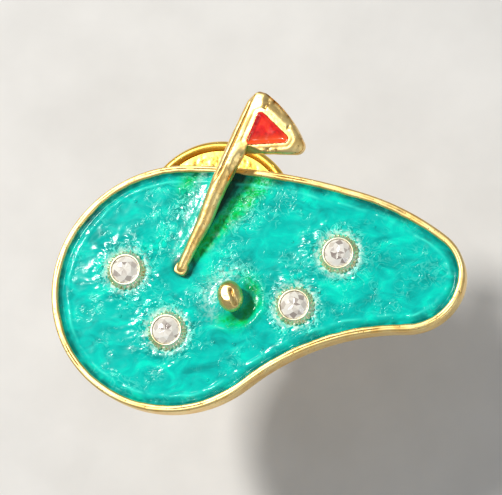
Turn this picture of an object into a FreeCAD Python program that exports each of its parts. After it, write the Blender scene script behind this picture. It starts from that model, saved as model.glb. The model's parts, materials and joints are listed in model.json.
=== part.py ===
import FreeCAD, Part

import math
import os

from FreeCAD import Placement, Rotation, Vector

# A golf ball marker of the lapel-pin kind: a gilt plate in the shape of a golf green, filled with enamel,
# which carries a flag, a ball and four set stones, and has a nail post with a butterfly clutch on its back.
# Millimetres. The origin is where the post's axis meets the plate's back face. +Z points out of the
# decorated face, +Y towards the flag, and -Z down the post.

# ---- Driving dimensions ----------------------------------------------------------------------------------

# The green's outline: tangent arcs, anticlockwise from the nose on the right. Each is (radius, turn in
# degrees); a negative pair is the hollow on the near side. The two radii left as None follow from the
# outline closing on itself.
OUTLINE_START = Vector(17.94, -7.21, 0)
OUTLINE_HEADING = 63
OUTLINE_ARCS = [
    (3.6, 77),
    (18.5, 20),
    (None, 17),
    (9.7, 60),
    (None, 68),
    (8.9, 92),
    (-17.6, -39),
    (4.3, 65),
]

# Heights of the plate and its filling
FLOOR_TOP = 0.9
RIM_TOP = 1.9
RIM_WIDTH = 0.52
RIM_ROUNDING = 0.14
ENAMEL_TOP = 1.6

# Set stones and their cups
STONE_PLACES = {
    "upper_left": (-5.99, -4.54),
    "lower_left": (-2.96, -9.01),
    "upper_right": (9.40, -3.85),
    "lower_right": (6.24, -7.48),
}
STONE_RADIUS = 1.00
STONE_SIDES = 8
STONE_TABLE_RADIUS = 0.56
CULET_HEIGHT = 1.15
GIRDLE_BOTTOM = 1.90
GIRDLE_TOP = 1.98
STONE_TABLE_HEIGHT = 2.30
BEZEL_RADIUS = 1.38
BEZEL_TOP = 2.05
BEZEL_NOTCHES = 18
BEZEL_NOTCH_RADIUS = 0.13
STONE_CLEARANCE = 0.03

# The ball: an egg-shaped head on a round stem
BALL_PLACE = (1.80, -6.82)
BALL_TURN = 12
BALL_HALF_LENGTH = 1.12
BALL_RADIUS = 0.90
BALL_HEIGHT = 2.65
BALL_STEM_RADIUS = 0.72

# The flagpole: a slim spindle that climbs from its foot in the enamel and passes over the rim
POLE_FOOT = Vector(-1.86, -4.56, 1.98)
POLE_BEARING = 26.2
POLE_CLIMB = 7.4
POLE_LENGTH = 13.2
POLE_RADII = (0.36, 0.64, 0.60)
FOOT_RADIUS = 0.47
FOOT_ROUNDING = 0.15
FOOT_STEP = 0.18
REST_ALONG = 7.75
REST_RADIUS = 0.24

# The pennant, in the pole's own frame: (across, along), with heights measured from the pole's axis
PENNANT_PEAK_LEFT = (-0.22, 13.70)
PENNANT_PEAK_RIGHT = (0.55, 13.80)
PENNANT_FLY = (2.60, 13.02)
PENNANT_TIP_TOP = (4.42, 11.72)
PENNANT_TIP = (4.64, 11.20)
PENNANT_TIP_BOTTOM = (4.30, 10.70)
PENNANT_BELLY = (2.60, 10.02)
PENNANT_CROTCH = (0.78, 9.25)
SPINE_BOTTOM_RIGHT = (0.62, 7.00)
SPINE_BOTTOM_LEFT = (-0.16, 6.95)
PENNANT_UNDERSIDE = -0.35
PENNANT_FACE = 0.70
PENNANT_ROUNDING = 0.16
CELL_CORNERS = [(0.64, 12.56), (0.65, 9.82), (3.89, 11.39)]
CELL_CORNER_RADIUS = 0.28
CELL_FLOOR = 0.20
CELL_LIP_WIDTH = 0.16
CELL_LIP_TOP = 0.82
RED_ENAMEL_TOP = 0.75

# The nail post
PAD_RADIUS = 1.60
PAD_SEAT_RADIUS = 1.65
PAD_THICKNESS = 0.35
ROOT_RADIUS = 0.70
ROOT_LENGTH = 1.20
ROOT_TAPER = 0.20
SHANK_RADIUS = 0.50
GROOVE_TOP = 6.20
GROOVE_LENGTH = 0.60
GROOVE_RADIUS = 0.38
POINT_START = 7.30
POINT_RADIUS = 0.12
POST_LENGTH = 8.00

# The clutch: face disc, back cover, squeeze levers and spring
CLUTCH_RADIUS = 5.75
CLUTCH_FACE_Z = -2.10
CLUTCH_ROLL_RADIUS = 0.35
CLUTCH_RECESS = 0.30
CLUTCH_SHEET = 0.35
CLUTCH_HOLE_RADIUS = 0.76
CLUTCH_FUNNEL_RADIUS = 1.15
COVER_RADIUS = 4.90
COVER_DEPTH = 2.35
COVER_WALL = 0.30
COVER_CORNER = 0.50
WINDOW_HALF_LENGTH = 3.60
WINDOW_HALF_WIDTH = 2.40
PIVOT_X = 2.30
PIVOT_Z = -4.10
BARREL_RADIUS = 0.40
BARREL_HALF_LENGTH = 2.30
TRUNNION_RADIUS = 0.28
TRUNNION_CLEARANCE = 0.06
TRUNNION_REACH = 3.05
LUG_INNER = 2.45
LUG_OUTER = 3.15
LUG_HALF_WIDTH = 0.65
LUG_TOP = -3.60
JAW_GAP = 0.12
JAW_HALF_WIDTH = 1.10
JAW_TOP = -3.45
JAW_THICKNESS = 0.30
JAW_GRIP_CLEARANCE = 0.04
WING_SPLAY = 30
WING_SHEET = 0.40
WING_ROOT_HALF_WIDTH = 1.90
WING_HALF_WIDTH = 3.10
WING_NECK = 1.60
WING_BELLY = 4.10
WING_SHOULDER = (2.20, 5.85)
WING_LENGTH = 6.30
WING_RIBS = (3.3, 4.2, 5.1)
WING_RIB_RADIUS = 0.16
WING_RIB_HALF_LENGTH = 1.80
SPRING_SHEET = 0.12
SPRING_HALF_WIDTH = 1.20
SPRING_FLAT = 0.95
SPRING_REACH = 1.85
SPRING_HOLE_RADIUS = 0.85
SPRING_GAP = 0.04

# ---- Helpers ---------------------------------------------------------------------------------------------

UP = Vector(0, 0, 1)
ORIGIN = Vector(0, 0, 0)
FULL_TURN = 360
OVERCUT = 0.1


def line(start, end):
    return Part.LineSegment(start, end).toShape()


def arc(start, middle, end):
    return Part.Arc(start, middle, end).toShape()


def revolved(edges, base=ORIGIN, direction=UP):
    """A solid of revolution from the closed outline that the edges make."""
    return Part.Face(Part.Wire(edges)).revolve(base, direction, FULL_TURN)


def turned(profile):
    """A solid turned about Z from (radius, height) corners."""
    corners = [Vector(radius, 0, height) for radius, height in profile]
    outline = Part.makePolygon(corners + corners[:1])
    return Part.Face(outline).revolve(ORIGIN, UP, FULL_TURN)


def block(low, high):
    """A box between two opposite corners."""
    size = high - low
    return Part.makeBox(size.x, size.y, size.z, low)


def edges_at_height(shape, height, tolerance=0.001):
    """The edges of a shape that lie wholly at one height."""
    return [
        edge for edge in shape.Edges
        if abs(edge.BoundBox.ZMin - height) < tolerance and abs(edge.BoundBox.ZMax - height) < tolerance
    ]


def export(name, shape):
    """Write one sub-part to its own STEP file."""
    solid = shape.removeSplitter()
    if not solid.isValid() or len(solid.Solids) != 1:
        raise ValueError(f"{name} is not one valid solid")
    solid.Solids[0].exportStep(os.path.join("parts", f"{name}.step"))


# ---- The green -------------------------------------------------------------------------------------------


def arc_travel(heading, turn):
    """How far a unit arc carries a point that sets off along the heading and turns by the given angle."""
    return Vector(
        math.sin(heading + turn) - math.sin(heading),
        math.cos(heading) - math.cos(heading + turn),
        0,
    )


def closed_outline():
    """The outline's (radius, turn) pairs in radians, with the two open radii solved so that it closes."""
    heading = math.radians(OUTLINE_HEADING)
    fixed_travel = Vector(0, 0, 0)
    open_travel = []
    for radius, degrees in OUTLINE_ARCS:
        turn = math.radians(degrees)
        travel = arc_travel(heading, turn)
        if radius is None:
            open_travel.append(travel)
        else:
            fixed_travel += travel * radius
        heading += turn
    first, second = open_travel
    determinant = first.x * second.y - first.y * second.x
    first_radius = (fixed_travel.y * second.x - fixed_travel.x * second.y) / determinant
    second_radius = (fixed_travel.x * first.y - fixed_travel.y * first.x) / determinant
    solved = iter((first_radius, second_radius))
    return [
        (next(solved) if radius is None else radius, math.radians(degrees))
        for radius, degrees in OUTLINE_ARCS
    ]


def green_wire(inset, height):
    """The green's outline, moved inwards by the inset: every arc keeps its centre."""
    heading = math.radians(OUTLINE_HEADING)
    inward = Vector(-math.sin(heading), math.cos(heading), 0)
    point = OUTLINE_START + inward * inset + UP * height
    edges = []
    for radius, turn in closed_outline():
        inset_radius = radius - inset
        middle = point + arc_travel(heading, turn / 2) * inset_radius
        end = point + arc_travel(heading, turn) * inset_radius
        edges.append(arc(point, middle, end))
        point = end
        heading += turn
    first = edges[0].Vertexes[0].Point
    edges[-1] = arc(edges[-1].Vertexes[0].Point, middle, first)
    return Part.Wire(edges)


def green_prism(inset, bottom, top):
    return Part.Face(green_wire(inset, bottom)).extrude(UP * (top - bottom))


def base_plate():
    """The cast plate: a sunk field inside a rounded rim, and a seat for the post's pad in its back."""
    plate = green_prism(0, 0, RIM_TOP).cut(green_prism(RIM_WIDTH, FLOOR_TOP, RIM_TOP + OVERCUT))
    plate = plate.makeFillet(RIM_ROUNDING, edges_at_height(plate, RIM_TOP))
    plate = plate.makeFillet(RIM_ROUNDING, edges_at_height(plate, 0))
    return plate.cut(Part.makeCylinder(PAD_SEAT_RADIUS, PAD_THICKNESS))


def green_enamel():
    """The enamel that fills the field, with a hole for each thing that stands in it."""
    enamel = green_prism(RIM_WIDTH, FLOOR_TOP, ENAMEL_TOP)
    depth = ENAMEL_TOP - FLOOR_TOP
    studs = [(place, BEZEL_RADIUS) for place in STONE_PLACES.values()]
    studs.append((BALL_PLACE, BALL_STEM_RADIUS))
    studs.append(((POLE_FOOT.x, POLE_FOOT.y), FOOT_RADIUS))
    for (x, y), radius in studs:
        enamel = enamel.cut(Part.makeCylinder(radius, depth, Vector(x, y, FLOOR_TOP)))
    return enamel


# ---- Stones and ball -------------------------------------------------------------------------------------


def bezel():
    """A cup with a milled edge, turned and then notched all round."""
    seat_radius = STONE_RADIUS + STONE_CLEARANCE
    cup = turned([
        (0, FLOOR_TOP),
        (BEZEL_RADIUS, FLOOR_TOP),
        (BEZEL_RADIUS, BEZEL_TOP),
        (seat_radius, BEZEL_TOP),
        (seat_radius, GIRDLE_BOTTOM - STONE_CLEARANCE),
        (0, CULET_HEIGHT - STONE_CLEARANCE),
    ])
    for index in range(BEZEL_NOTCHES):
        angle = math.tau * index / BEZEL_NOTCHES
        place = Vector(BEZEL_RADIUS * math.cos(angle), BEZEL_RADIUS * math.sin(angle), ENAMEL_TOP)
        cup = cup.cut(Part.makeCylinder(BEZEL_NOTCH_RADIUS, BEZEL_TOP, place))
    return cup


def stone_ring(radius, height):
    """The corners of the stone's outline at one height."""
    angles = [math.tau * (index + 0.5) / STONE_SIDES for index in range(STONE_SIDES)]
    return [Vector(radius * math.cos(angle), radius * math.sin(angle), height) for angle in angles]


def crystal():
    """A faceted stone: a flat table, a band of crown facets, a thin girdle and a pointed back."""
    table = stone_ring(STONE_TABLE_RADIUS, STONE_TABLE_HEIGHT)
    upper = stone_ring(STONE_RADIUS, GIRDLE_TOP)
    lower = stone_ring(STONE_RADIUS, GIRDLE_BOTTOM)
    culet = Vector(0, 0, CULET_HEIGHT)
    facets = [table]
    for index in range(STONE_SIDES):
        after = (index + 1) % STONE_SIDES
        facets.append([upper[index], upper[after], table[after], table[index]])
        facets.append([lower[index], lower[after], upper[after], upper[index]])
        facets.append([culet, lower[after], lower[index]])
    faces = [Part.Face(Part.makePolygon(corners + corners[:1])) for corners in facets]
    return Part.Solid(Part.Shell(faces))


def golf_ball():
    """The ball: an egg-shaped head, its long axis turned a little off Y, on a stem from the plate's floor."""
    head = Part.makeSphere(BALL_RADIUS)
    stretch = FreeCAD.Matrix()
    stretch.scale(1, BALL_HALF_LENGTH / BALL_RADIUS, 1)
    head = head.transformGeometry(stretch)
    head.Placement = Placement(UP * BALL_HEIGHT, Rotation(UP, BALL_TURN))
    stem = Part.makeCylinder(BALL_STEM_RADIUS, BALL_HEIGHT - FLOOR_TOP, UP * FLOOR_TOP)
    return head.fuse(stem)


# ---- Flag ------------------------------------------------------------------------------------------------


def pole_placement():
    """The pole's own frame: X across, Y along the pole, Z up from it."""
    turn = Rotation(UP, -POLE_BEARING).multiply(Rotation(Vector(1, 0, 0), POLE_CLIMB))
    return Placement(POLE_FOOT, turn)


def in_pole_frame(shape):
    placed = shape.copy()
    placed.Placement = pole_placement()
    return placed


def pole_point(along):
    """A point on the pole's axis, in the marker's frame."""
    return pole_placement().multVec(Vector(0, along, 0))


def pole_spindle():
    """The pole's rod, a little thicker in the middle, in the marker's frame."""
    foot_radius, middle_radius, top_radius = POLE_RADII
    bottom = Vector(foot_radius, 0, 0)
    middle = Vector(middle_radius, POLE_LENGTH / 2, 0)
    top = Vector(top_radius, POLE_LENGTH, 0)
    end = Vector(0, POLE_LENGTH, 0)
    outline = [line(ORIGIN, bottom), arc(bottom, middle, top), line(top, end), line(end, ORIGIN)]
    return in_pole_frame(revolved(outline, direction=Vector(0, 1, 0)))


def flagpole():
    """The pole with its foot in the enamel and the small rest that carries it on the rim."""
    foot_top = POLE_FOOT.z + FOOT_STEP
    foot_base = Vector(POLE_FOOT.x, POLE_FOOT.y, FLOOR_TOP)
    foot = Part.makeCylinder(FOOT_RADIUS, foot_top - FLOOR_TOP, foot_base)
    foot = foot.makeFillet(FOOT_ROUNDING, edges_at_height(foot, foot_top))
    rest_top = pole_point(REST_ALONG)
    rest_base = Vector(rest_top.x, rest_top.y, RIM_TOP)
    rest = Part.makeCylinder(REST_RADIUS, rest_top.z - RIM_TOP, rest_base)
    heel = Part.makeSphere(POLE_RADII[0], POLE_FOOT)
    return pole_spindle().fuse([foot, rest, heel])


def flat_point(place, height):
    return Vector(place[0], place[1], height)


def pennant_blank():
    """The solid pennant with the spine that runs down beside the pole."""
    peak_left = flat_point(PENNANT_PEAK_LEFT, PENNANT_UNDERSIDE)
    peak_right = flat_point(PENNANT_PEAK_RIGHT, PENNANT_UNDERSIDE)
    fly = flat_point(PENNANT_FLY, PENNANT_UNDERSIDE)
    tip_top = flat_point(PENNANT_TIP_TOP, PENNANT_UNDERSIDE)
    tip = flat_point(PENNANT_TIP, PENNANT_UNDERSIDE)
    tip_bottom = flat_point(PENNANT_TIP_BOTTOM, PENNANT_UNDERSIDE)
    belly = flat_point(PENNANT_BELLY, PENNANT_UNDERSIDE)
    crotch = flat_point(PENNANT_CROTCH, PENNANT_UNDERSIDE)
    spine_right = flat_point(SPINE_BOTTOM_RIGHT, PENNANT_UNDERSIDE)
    spine_left = flat_point(SPINE_BOTTOM_LEFT, PENNANT_UNDERSIDE)
    outline = Part.Wire([
        line(peak_left, peak_right),
        arc(peak_right, fly, tip_top),
        arc(tip_top, tip, tip_bottom),
        arc(tip_bottom, belly, crotch),
        line(crotch, spine_right),
        line(spine_right, spine_left),
        line(spine_left, peak_left),
    ])
    blank = Part.Face(outline).extrude(UP * (PENNANT_FACE - PENNANT_UNDERSIDE))
    return blank.makeFillet(PENNANT_ROUNDING, edges_at_height(blank, PENNANT_FACE))


def cell_prism(margin, bottom, top):
    """A three-cornered prism with round corners, larger than the enamel cell by the margin."""
    corners = [flat_point(place, bottom) for place in CELL_CORNERS]
    triangle = Part.Wire(Part.makePolygon(corners + corners[:1]).Edges)
    inner = triangle.makeOffset2D(-CELL_CORNER_RADIUS)
    outline = inner.makeOffset2D(CELL_CORNER_RADIUS + margin)
    return Part.Face(outline).extrude(UP * (top - bottom))


def flag_frame():
    """The pennant, hollowed for its enamel, with a raised lip round the cell and a groove for the pole."""
    pennant = pennant_blank()
    lip = cell_prism(CELL_LIP_WIDTH, CELL_FLOOR, CELL_LIP_TOP)
    cell = cell_prism(0, CELL_FLOOR, CELL_LIP_TOP + OVERCUT)
    pennant = pennant.fuse(lip).cut(cell)
    return in_pole_frame(pennant).cut(pole_spindle())


def flag_enamel():
    return in_pole_frame(cell_prism(0, CELL_FLOOR, RED_ENAMEL_TOP))


# ---- Post ------------------------------------------------------------------------------------------------


def pin_post():
    """The nail post: a pad in the plate's back, a thick root, a shank with a groove, and a point."""
    groove_bottom = GROOVE_TOP + GROOVE_LENGTH
    return turned([
        (0, PAD_THICKNESS),
        (PAD_RADIUS, PAD_THICKNESS),
        (PAD_RADIUS, 0),
        (ROOT_RADIUS, 0),
        (ROOT_RADIUS, -ROOT_LENGTH),
        (SHANK_RADIUS, -ROOT_LENGTH - ROOT_TAPER),
        (SHANK_RADIUS, -GROOVE_TOP),
        (GROOVE_RADIUS, -GROOVE_TOP - GROOVE_LENGTH / 3),
        (GROOVE_RADIUS, -groove_bottom + GROOVE_LENGTH / 3),
        (SHANK_RADIUS, -groove_bottom),
        (SHANK_RADIUS, -POINT_START),
        (POINT_RADIUS, -POST_LENGTH),
        (0, -POST_LENGTH),
    ])


# ---- Clutch ----------------------------------------------------------------------------------------------


def sheet_top():
    """Height of the face disc's sunk sheet."""
    return CLUTCH_FACE_Z - CLUTCH_RECESS


def sheet_bottom():
    """Height of the face disc's back, where the cover is crimped on."""
    return sheet_top() - CLUTCH_SHEET


def clutch_face():
    """The face disc: sunk sheet with a funnelled hole, inside a rolled rim."""
    roll_centre = CLUTCH_RADIUS - CLUTCH_ROLL_RADIUS
    funnel_depth = CLUTCH_SHEET / 2
    sheet = turned([
        (CLUTCH_HOLE_RADIUS, sheet_bottom()),
        (roll_centre, sheet_bottom()),
        (roll_centre, sheet_top()),
        (CLUTCH_FUNNEL_RADIUS, sheet_top()),
        (CLUTCH_HOLE_RADIUS, sheet_top() - funnel_depth),
    ])
    roll_place = Vector(0, 0, CLUTCH_FACE_Z - CLUTCH_ROLL_RADIUS)
    return sheet.fuse(Part.makeTorus(roll_centre, CLUTCH_ROLL_RADIUS, roll_place))


def cover_outline(radius, top, bottom, corner):
    """Half section of a round tin: straight side, rounded corner, flat bottom."""
    bend = corner * (1 - math.sqrt(0.5))
    rim = Vector(radius, 0, top)
    side_end = Vector(radius, 0, bottom + corner)
    bend_middle = Vector(radius - bend, 0, bottom + bend)
    floor_start = Vector(radius - corner, 0, bottom)
    floor_centre = Vector(0, 0, bottom)
    top_centre = Vector(0, 0, top)
    return [
        line(top_centre, rim),
        line(rim, side_end),
        arc(side_end, bend_middle, floor_start),
        line(floor_start, floor_centre),
        line(floor_centre, top_centre),
    ]


def lug(side_x, side_y):
    """The ear inside the cover that holds one end of a wing's trunnion."""
    inner_y, outer_y = sorted((side_y * LUG_INNER, side_y * LUG_OUTER))
    floor = sheet_bottom() - COVER_DEPTH + COVER_WALL / 2
    centre_x = side_x * PIVOT_X
    low = Vector(centre_x - LUG_HALF_WIDTH, inner_y, floor)
    high = Vector(centre_x + LUG_HALF_WIDTH, outer_y, LUG_TOP)
    return block(low, high)


def along_y(radius, half_length, x, z):
    """A cylinder along Y, centred on the XZ plane."""
    return Part.makeCylinder(radius, 2 * half_length, Vector(x, -half_length, z), Vector(0, 1, 0))


def clutch_back():
    """The crimped cover, with a window for the wings and bored lugs for their trunnions."""
    bottom = sheet_bottom() - COVER_DEPTH
    shell = revolved(cover_outline(COVER_RADIUS, sheet_bottom(), bottom, COVER_CORNER))
    hollow_radius = COVER_RADIUS - COVER_WALL
    hollow_corner = COVER_CORNER - COVER_WALL
    hollow = revolved(cover_outline(hollow_radius, sheet_bottom(), bottom + COVER_WALL, hollow_corner))
    shell = shell.cut(hollow)
    window_low = Vector(-WINDOW_HALF_LENGTH, -WINDOW_HALF_WIDTH, bottom - OVERCUT)
    window_high = Vector(WINDOW_HALF_LENGTH, WINDOW_HALF_WIDTH, bottom + COVER_WALL + OVERCUT)
    shell = shell.cut(block(window_low, window_high))
    for side_x in (-1, 1):
        shell = shell.fuse([lug(side_x, side_y) for side_y in (-1, 1)])
        bore_radius = TRUNNION_RADIUS + TRUNNION_CLEARANCE
        shell = shell.cut(along_y(bore_radius, LUG_OUTER + COVER_WALL / 2, side_x * PIVOT_X, PIVOT_Z))
    return shell


def wing_blade():
    """A butterfly-shaped finger plate with raised ribs, built flat: X is its width, Y its length."""
    half_sheet = WING_SHEET / 2
    shoulder_x, shoulder_y = WING_SHOULDER
    root_left = Vector(-WING_ROOT_HALF_WIDTH, 0, -half_sheet)
    root_right = Vector(WING_ROOT_HALF_WIDTH, 0, -half_sheet)
    neck_left = Vector(-WING_ROOT_HALF_WIDTH, WING_NECK, -half_sheet)
    neck_right = Vector(WING_ROOT_HALF_WIDTH, WING_NECK, -half_sheet)
    shoulder_left = Vector(-shoulder_x, shoulder_y, -half_sheet)
    shoulder_right = Vector(shoulder_x, shoulder_y, -half_sheet)
    outline = Part.Wire([
        line(root_left, root_right),
        line(root_right, neck_right),
        arc(neck_right, Vector(WING_HALF_WIDTH, WING_BELLY, -half_sheet), shoulder_right),
        arc(shoulder_right, Vector(0, WING_LENGTH, -half_sheet), shoulder_left),
        arc(shoulder_left, Vector(-WING_HALF_WIDTH, WING_BELLY, -half_sheet), neck_left),
        line(neck_left, root_left),
    ])
    blade = Part.Face(outline).extrude(UP * WING_SHEET)
    for height in WING_RIBS:
        start = Vector(-WING_RIB_HALF_LENGTH, height, half_sheet)
        rib = Part.makeCylinder(WING_RIB_RADIUS, 2 * WING_RIB_HALF_LENGTH, start, Vector(1, 0, 0))
        blade = blade.fuse(rib)
    return blade


def wing_right():
    """The lever on the +X side: jaw arm, barrel with trunnions, and finger plate splayed outwards."""
    barrel = along_y(BARREL_RADIUS, BARREL_HALF_LENGTH, PIVOT_X, PIVOT_Z)
    trunnions = along_y(TRUNNION_RADIUS, TRUNNION_REACH, PIVOT_X, PIVOT_Z)
    jaw_low = Vector(JAW_GAP, -JAW_HALF_WIDTH, JAW_TOP - JAW_THICKNESS)
    jaw_high = Vector(PIVOT_X, JAW_HALF_WIDTH, JAW_TOP)
    knee_low = Vector(PIVOT_X - BARREL_RADIUS, -JAW_HALF_WIDTH, PIVOT_Z)
    knee_high = Vector(PIVOT_X + BARREL_RADIUS / 2, JAW_HALF_WIDTH, JAW_TOP)
    grip_radius = SHANK_RADIUS + JAW_GRIP_CLEARANCE
    grip_base = Vector(0, 0, JAW_TOP - JAW_THICKNESS - OVERCUT)
    grip = Part.makeCylinder(grip_radius, JAW_THICKNESS + 2 * OVERCUT, grip_base)
    jaw = block(jaw_low, jaw_high).fuse(block(knee_low, knee_high)).cut(grip)
    splay = math.radians(WING_SPLAY)
    downwards = Vector(math.sin(splay), 0, -math.cos(splay))
    outwards = Vector(math.cos(splay), 0, math.sin(splay))
    blade = wing_blade()
    blade.Placement = Placement(
        Vector(PIVOT_X, 0, PIVOT_Z),
        Rotation(Vector(0, 1, 0), downwards, outwards, "ZYX"),
    )
    return barrel.fuse([trunnions, jaw, blade])


def wing_left():
    return wing_right().mirror(ORIGIN, Vector(1, 0, 0))


def leaf_spring():
    """The bowed strip under the face disc: flat in the middle, its ends bearing on the jaw arms."""
    flat_top = sheet_bottom() - SPRING_GAP
    end_bottom = JAW_TOP + SPRING_GAP
    end_top = end_bottom + SPRING_SHEET
    section = [
        (-SPRING_REACH, end_top),
        (-SPRING_FLAT, flat_top),
        (SPRING_FLAT, flat_top),
        (SPRING_REACH, end_top),
        (SPRING_REACH, end_bottom),
        (SPRING_FLAT, flat_top - SPRING_SHEET),
        (-SPRING_FLAT, flat_top - SPRING_SHEET),
        (-SPRING_REACH, end_bottom),
    ]
    corners = [Vector(x, -SPRING_HALF_WIDTH, z) for x, z in section]
    strip = Part.Face(Part.makePolygon(corners + corners[:1])).extrude(Vector(0, 2 * SPRING_HALF_WIDTH, 0))
    hole_depth = sheet_bottom() - JAW_TOP
    return strip.cut(Part.makeCylinder(SPRING_HOLE_RADIUS, hole_depth, Vector(0, 0, JAW_TOP)))


# ---- The whole marker ------------------------------------------------------------------------------------


def moved_to(place, shape):
    moved = shape.copy()
    moved.translate(Vector(place[0], place[1], 0))
    return moved


def main():
    os.makedirs("parts", exist_ok=True)
    export("base_plate", base_plate())
    export("green_enamel", green_enamel())
    export("flagpole", flagpole())
    export("flag_frame", flag_frame())
    export("flag_enamel", flag_enamel())
    export("golf_ball", moved_to(BALL_PLACE, golf_ball()))
    for name, place in STONE_PLACES.items():
        export(f"bezel_{name}", moved_to(place, bezel()))
        export(f"crystal_{name}", moved_to(place, crystal()))
    export("pin_post", pin_post())
    export("clutch_face", clutch_face())
    export("clutch_back", clutch_back())
    export("wing_left", wing_left())
    export("wing_right", wing_right())
    export("leaf_spring", leaf_spring())


main()
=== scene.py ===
import json
import math

import bmesh
import bpy
import numpy as np
from mathutils import Matrix, Vector, noise


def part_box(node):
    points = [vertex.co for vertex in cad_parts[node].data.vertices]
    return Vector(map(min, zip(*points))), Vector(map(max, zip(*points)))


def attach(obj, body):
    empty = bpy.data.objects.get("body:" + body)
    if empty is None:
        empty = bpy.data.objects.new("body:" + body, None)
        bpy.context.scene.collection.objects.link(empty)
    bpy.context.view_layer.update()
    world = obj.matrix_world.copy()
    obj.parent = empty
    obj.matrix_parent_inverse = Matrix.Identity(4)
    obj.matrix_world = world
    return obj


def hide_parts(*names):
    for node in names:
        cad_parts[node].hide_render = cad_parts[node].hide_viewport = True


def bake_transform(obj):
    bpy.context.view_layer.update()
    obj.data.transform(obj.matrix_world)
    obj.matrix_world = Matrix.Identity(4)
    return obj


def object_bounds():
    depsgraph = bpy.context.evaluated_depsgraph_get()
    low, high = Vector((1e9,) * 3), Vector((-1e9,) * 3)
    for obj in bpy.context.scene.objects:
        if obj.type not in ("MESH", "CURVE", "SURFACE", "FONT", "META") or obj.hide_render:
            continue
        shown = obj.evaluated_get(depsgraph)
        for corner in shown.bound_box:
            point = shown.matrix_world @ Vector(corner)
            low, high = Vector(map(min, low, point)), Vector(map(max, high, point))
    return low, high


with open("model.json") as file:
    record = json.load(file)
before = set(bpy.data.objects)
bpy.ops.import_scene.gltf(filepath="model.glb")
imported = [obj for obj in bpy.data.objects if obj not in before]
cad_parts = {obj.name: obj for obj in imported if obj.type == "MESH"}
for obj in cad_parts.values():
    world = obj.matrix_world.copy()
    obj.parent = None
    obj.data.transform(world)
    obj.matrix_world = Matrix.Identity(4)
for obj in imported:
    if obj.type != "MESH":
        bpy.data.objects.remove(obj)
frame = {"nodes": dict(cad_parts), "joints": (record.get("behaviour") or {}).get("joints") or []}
cad_low, cad_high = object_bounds()

# Looks for the pin-back golf ball marker. Lengths below are in millimetres; meshes are written in metres.
MM = 0.001

# ---- Driving sizes ----

RIM_WIDTH = 0.52
RIM_ROUNDING = 0.20
CAD_ROUNDING = 0.14
ENAMEL_BITE = 0.08
ENAMEL_LEVEL = 1.58
SECTORS = 720
SHORE_RINGS = 34
SHORE_WIDTH = 1.4
CENTRE_RINGS = 80
LATHE_SECTORS = 128

# The pole's own frame: X across, Y along the pole, Z up from its axis, as the CAD has it
POLE_FOOT = Vector((-1.86, -4.56, 1.98))
POLE_BEARING = math.radians(26.2)
POLE_CLIMB = math.radians(7.4)
POLE_START = -0.30
POLE_END = 13.55
POLE_RINGS = 260
POLE_SECTORS = 96
# Radius of the rod at places along it
POLE_GIRTH = [
    (0.0, 0.36),
    (2.5, 0.47),
    (3.7, 0.56),
    (6.4, 0.64),
    (8.0, 0.70),
    (10.5, 0.68),
    (12.8, 0.60),
    (POLE_END, 0.30),
]
RIM_CROSSING = 7.5
PEG_ALONG = 7.75
PEG_RADIUS = 0.24
STUB_RADIUS = 0.50
STUB_STANDS = 0.16

# The post, the clutch and the two halves of its leaf spring
PAD_RADIUS = 1.60
ROOT_RADIUS = 0.70
ROOT_LENGTH = 1.20
SHANK_RADIUS = 0.50
GROOVE_RADIUS = 0.38
CLUTCH_HOLE = 0.76
CLUTCH_FUNNEL = 1.15
CLUTCH_ROLL = 0.35
CLUTCH_RIBS = 22
LEAF_THICKNESS = 0.12
LEAF_HOLE = 0.85
LEAF_FLAT = 0.95

BEZEL_TEETH = 26
BEZEL_SECTORS = 260
STONE_RADIUS = 0.99
GIRDLE_SHARE = 0.68

# Fractal noise: how far each seed moves it, how fast its octaves fade and how much finer each one is
SEED_STRIDE = (17.3, 5.1, 9.7)
OCTAVE_FADE = 0.7
OCTAVE_STEP = 2.0

BLACK = (0, 0, 0)
WHITE = (1, 1, 1)

# ---- Small helpers ----


def box_mm(node):
    """A CAD node's lowest and highest corners, in millimetres."""
    low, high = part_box(node)
    return np.array(low) / MM, np.array(high) / MM


def centre_of(node):
    """The middle of a CAD node's box, in millimetres."""
    low, high = box_mm(node)
    return (low + high) / 2


def smoothstep(value, start, end):
    share = np.clip((value - start) / (end - start), 0, 1)
    return share * share * (3 - 2 * share)


def lumps(points, size, seed, octaves=3):
    """Smooth noise between about -1 and 1 at each point, with features of the given size."""
    shift = Vector([seed * stride for stride in SEED_STRIDE])
    return np.array([
        noise.fractal(Vector(point) / size + shift, OCTAVE_FADE, OCTAVE_STEP, octaves) for point in points
    ])


def mottle(points, base, swing, size, seed, low=0, high=1):
    """Smooth noise round a base value, kept between two limits."""
    return np.clip(base + swing * lumps(points, size, seed), low, high)


def gauss(value, middle, width):
    return np.exp(-(((value - middle) / width) ** 2))


def add_object(name, data):
    """A new object in the scene."""
    thing = bpy.data.objects.new(name, data)
    bpy.context.scene.collection.objects.link(thing)
    return thing


def store_layer(mesh, layer, values, domain="POINT"):
    """Keep one value for each vertex or face, which a material reads as an attribute."""
    mesh.attributes.new(layer, "FLOAT", domain).data.foreach_set("value", values.astype(np.float32))


def read_places(piece):
    """The piece's vertices, in metres."""
    places = np.empty(len(piece.data.vertices) * 3, np.float32)
    piece.data.vertices.foreach_get("co", places)
    return places.reshape(-1, 3)


def write_places(piece, places):
    piece.data.vertices.foreach_set("co", places.astype(np.float32).ravel())
    piece.data.update()


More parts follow.
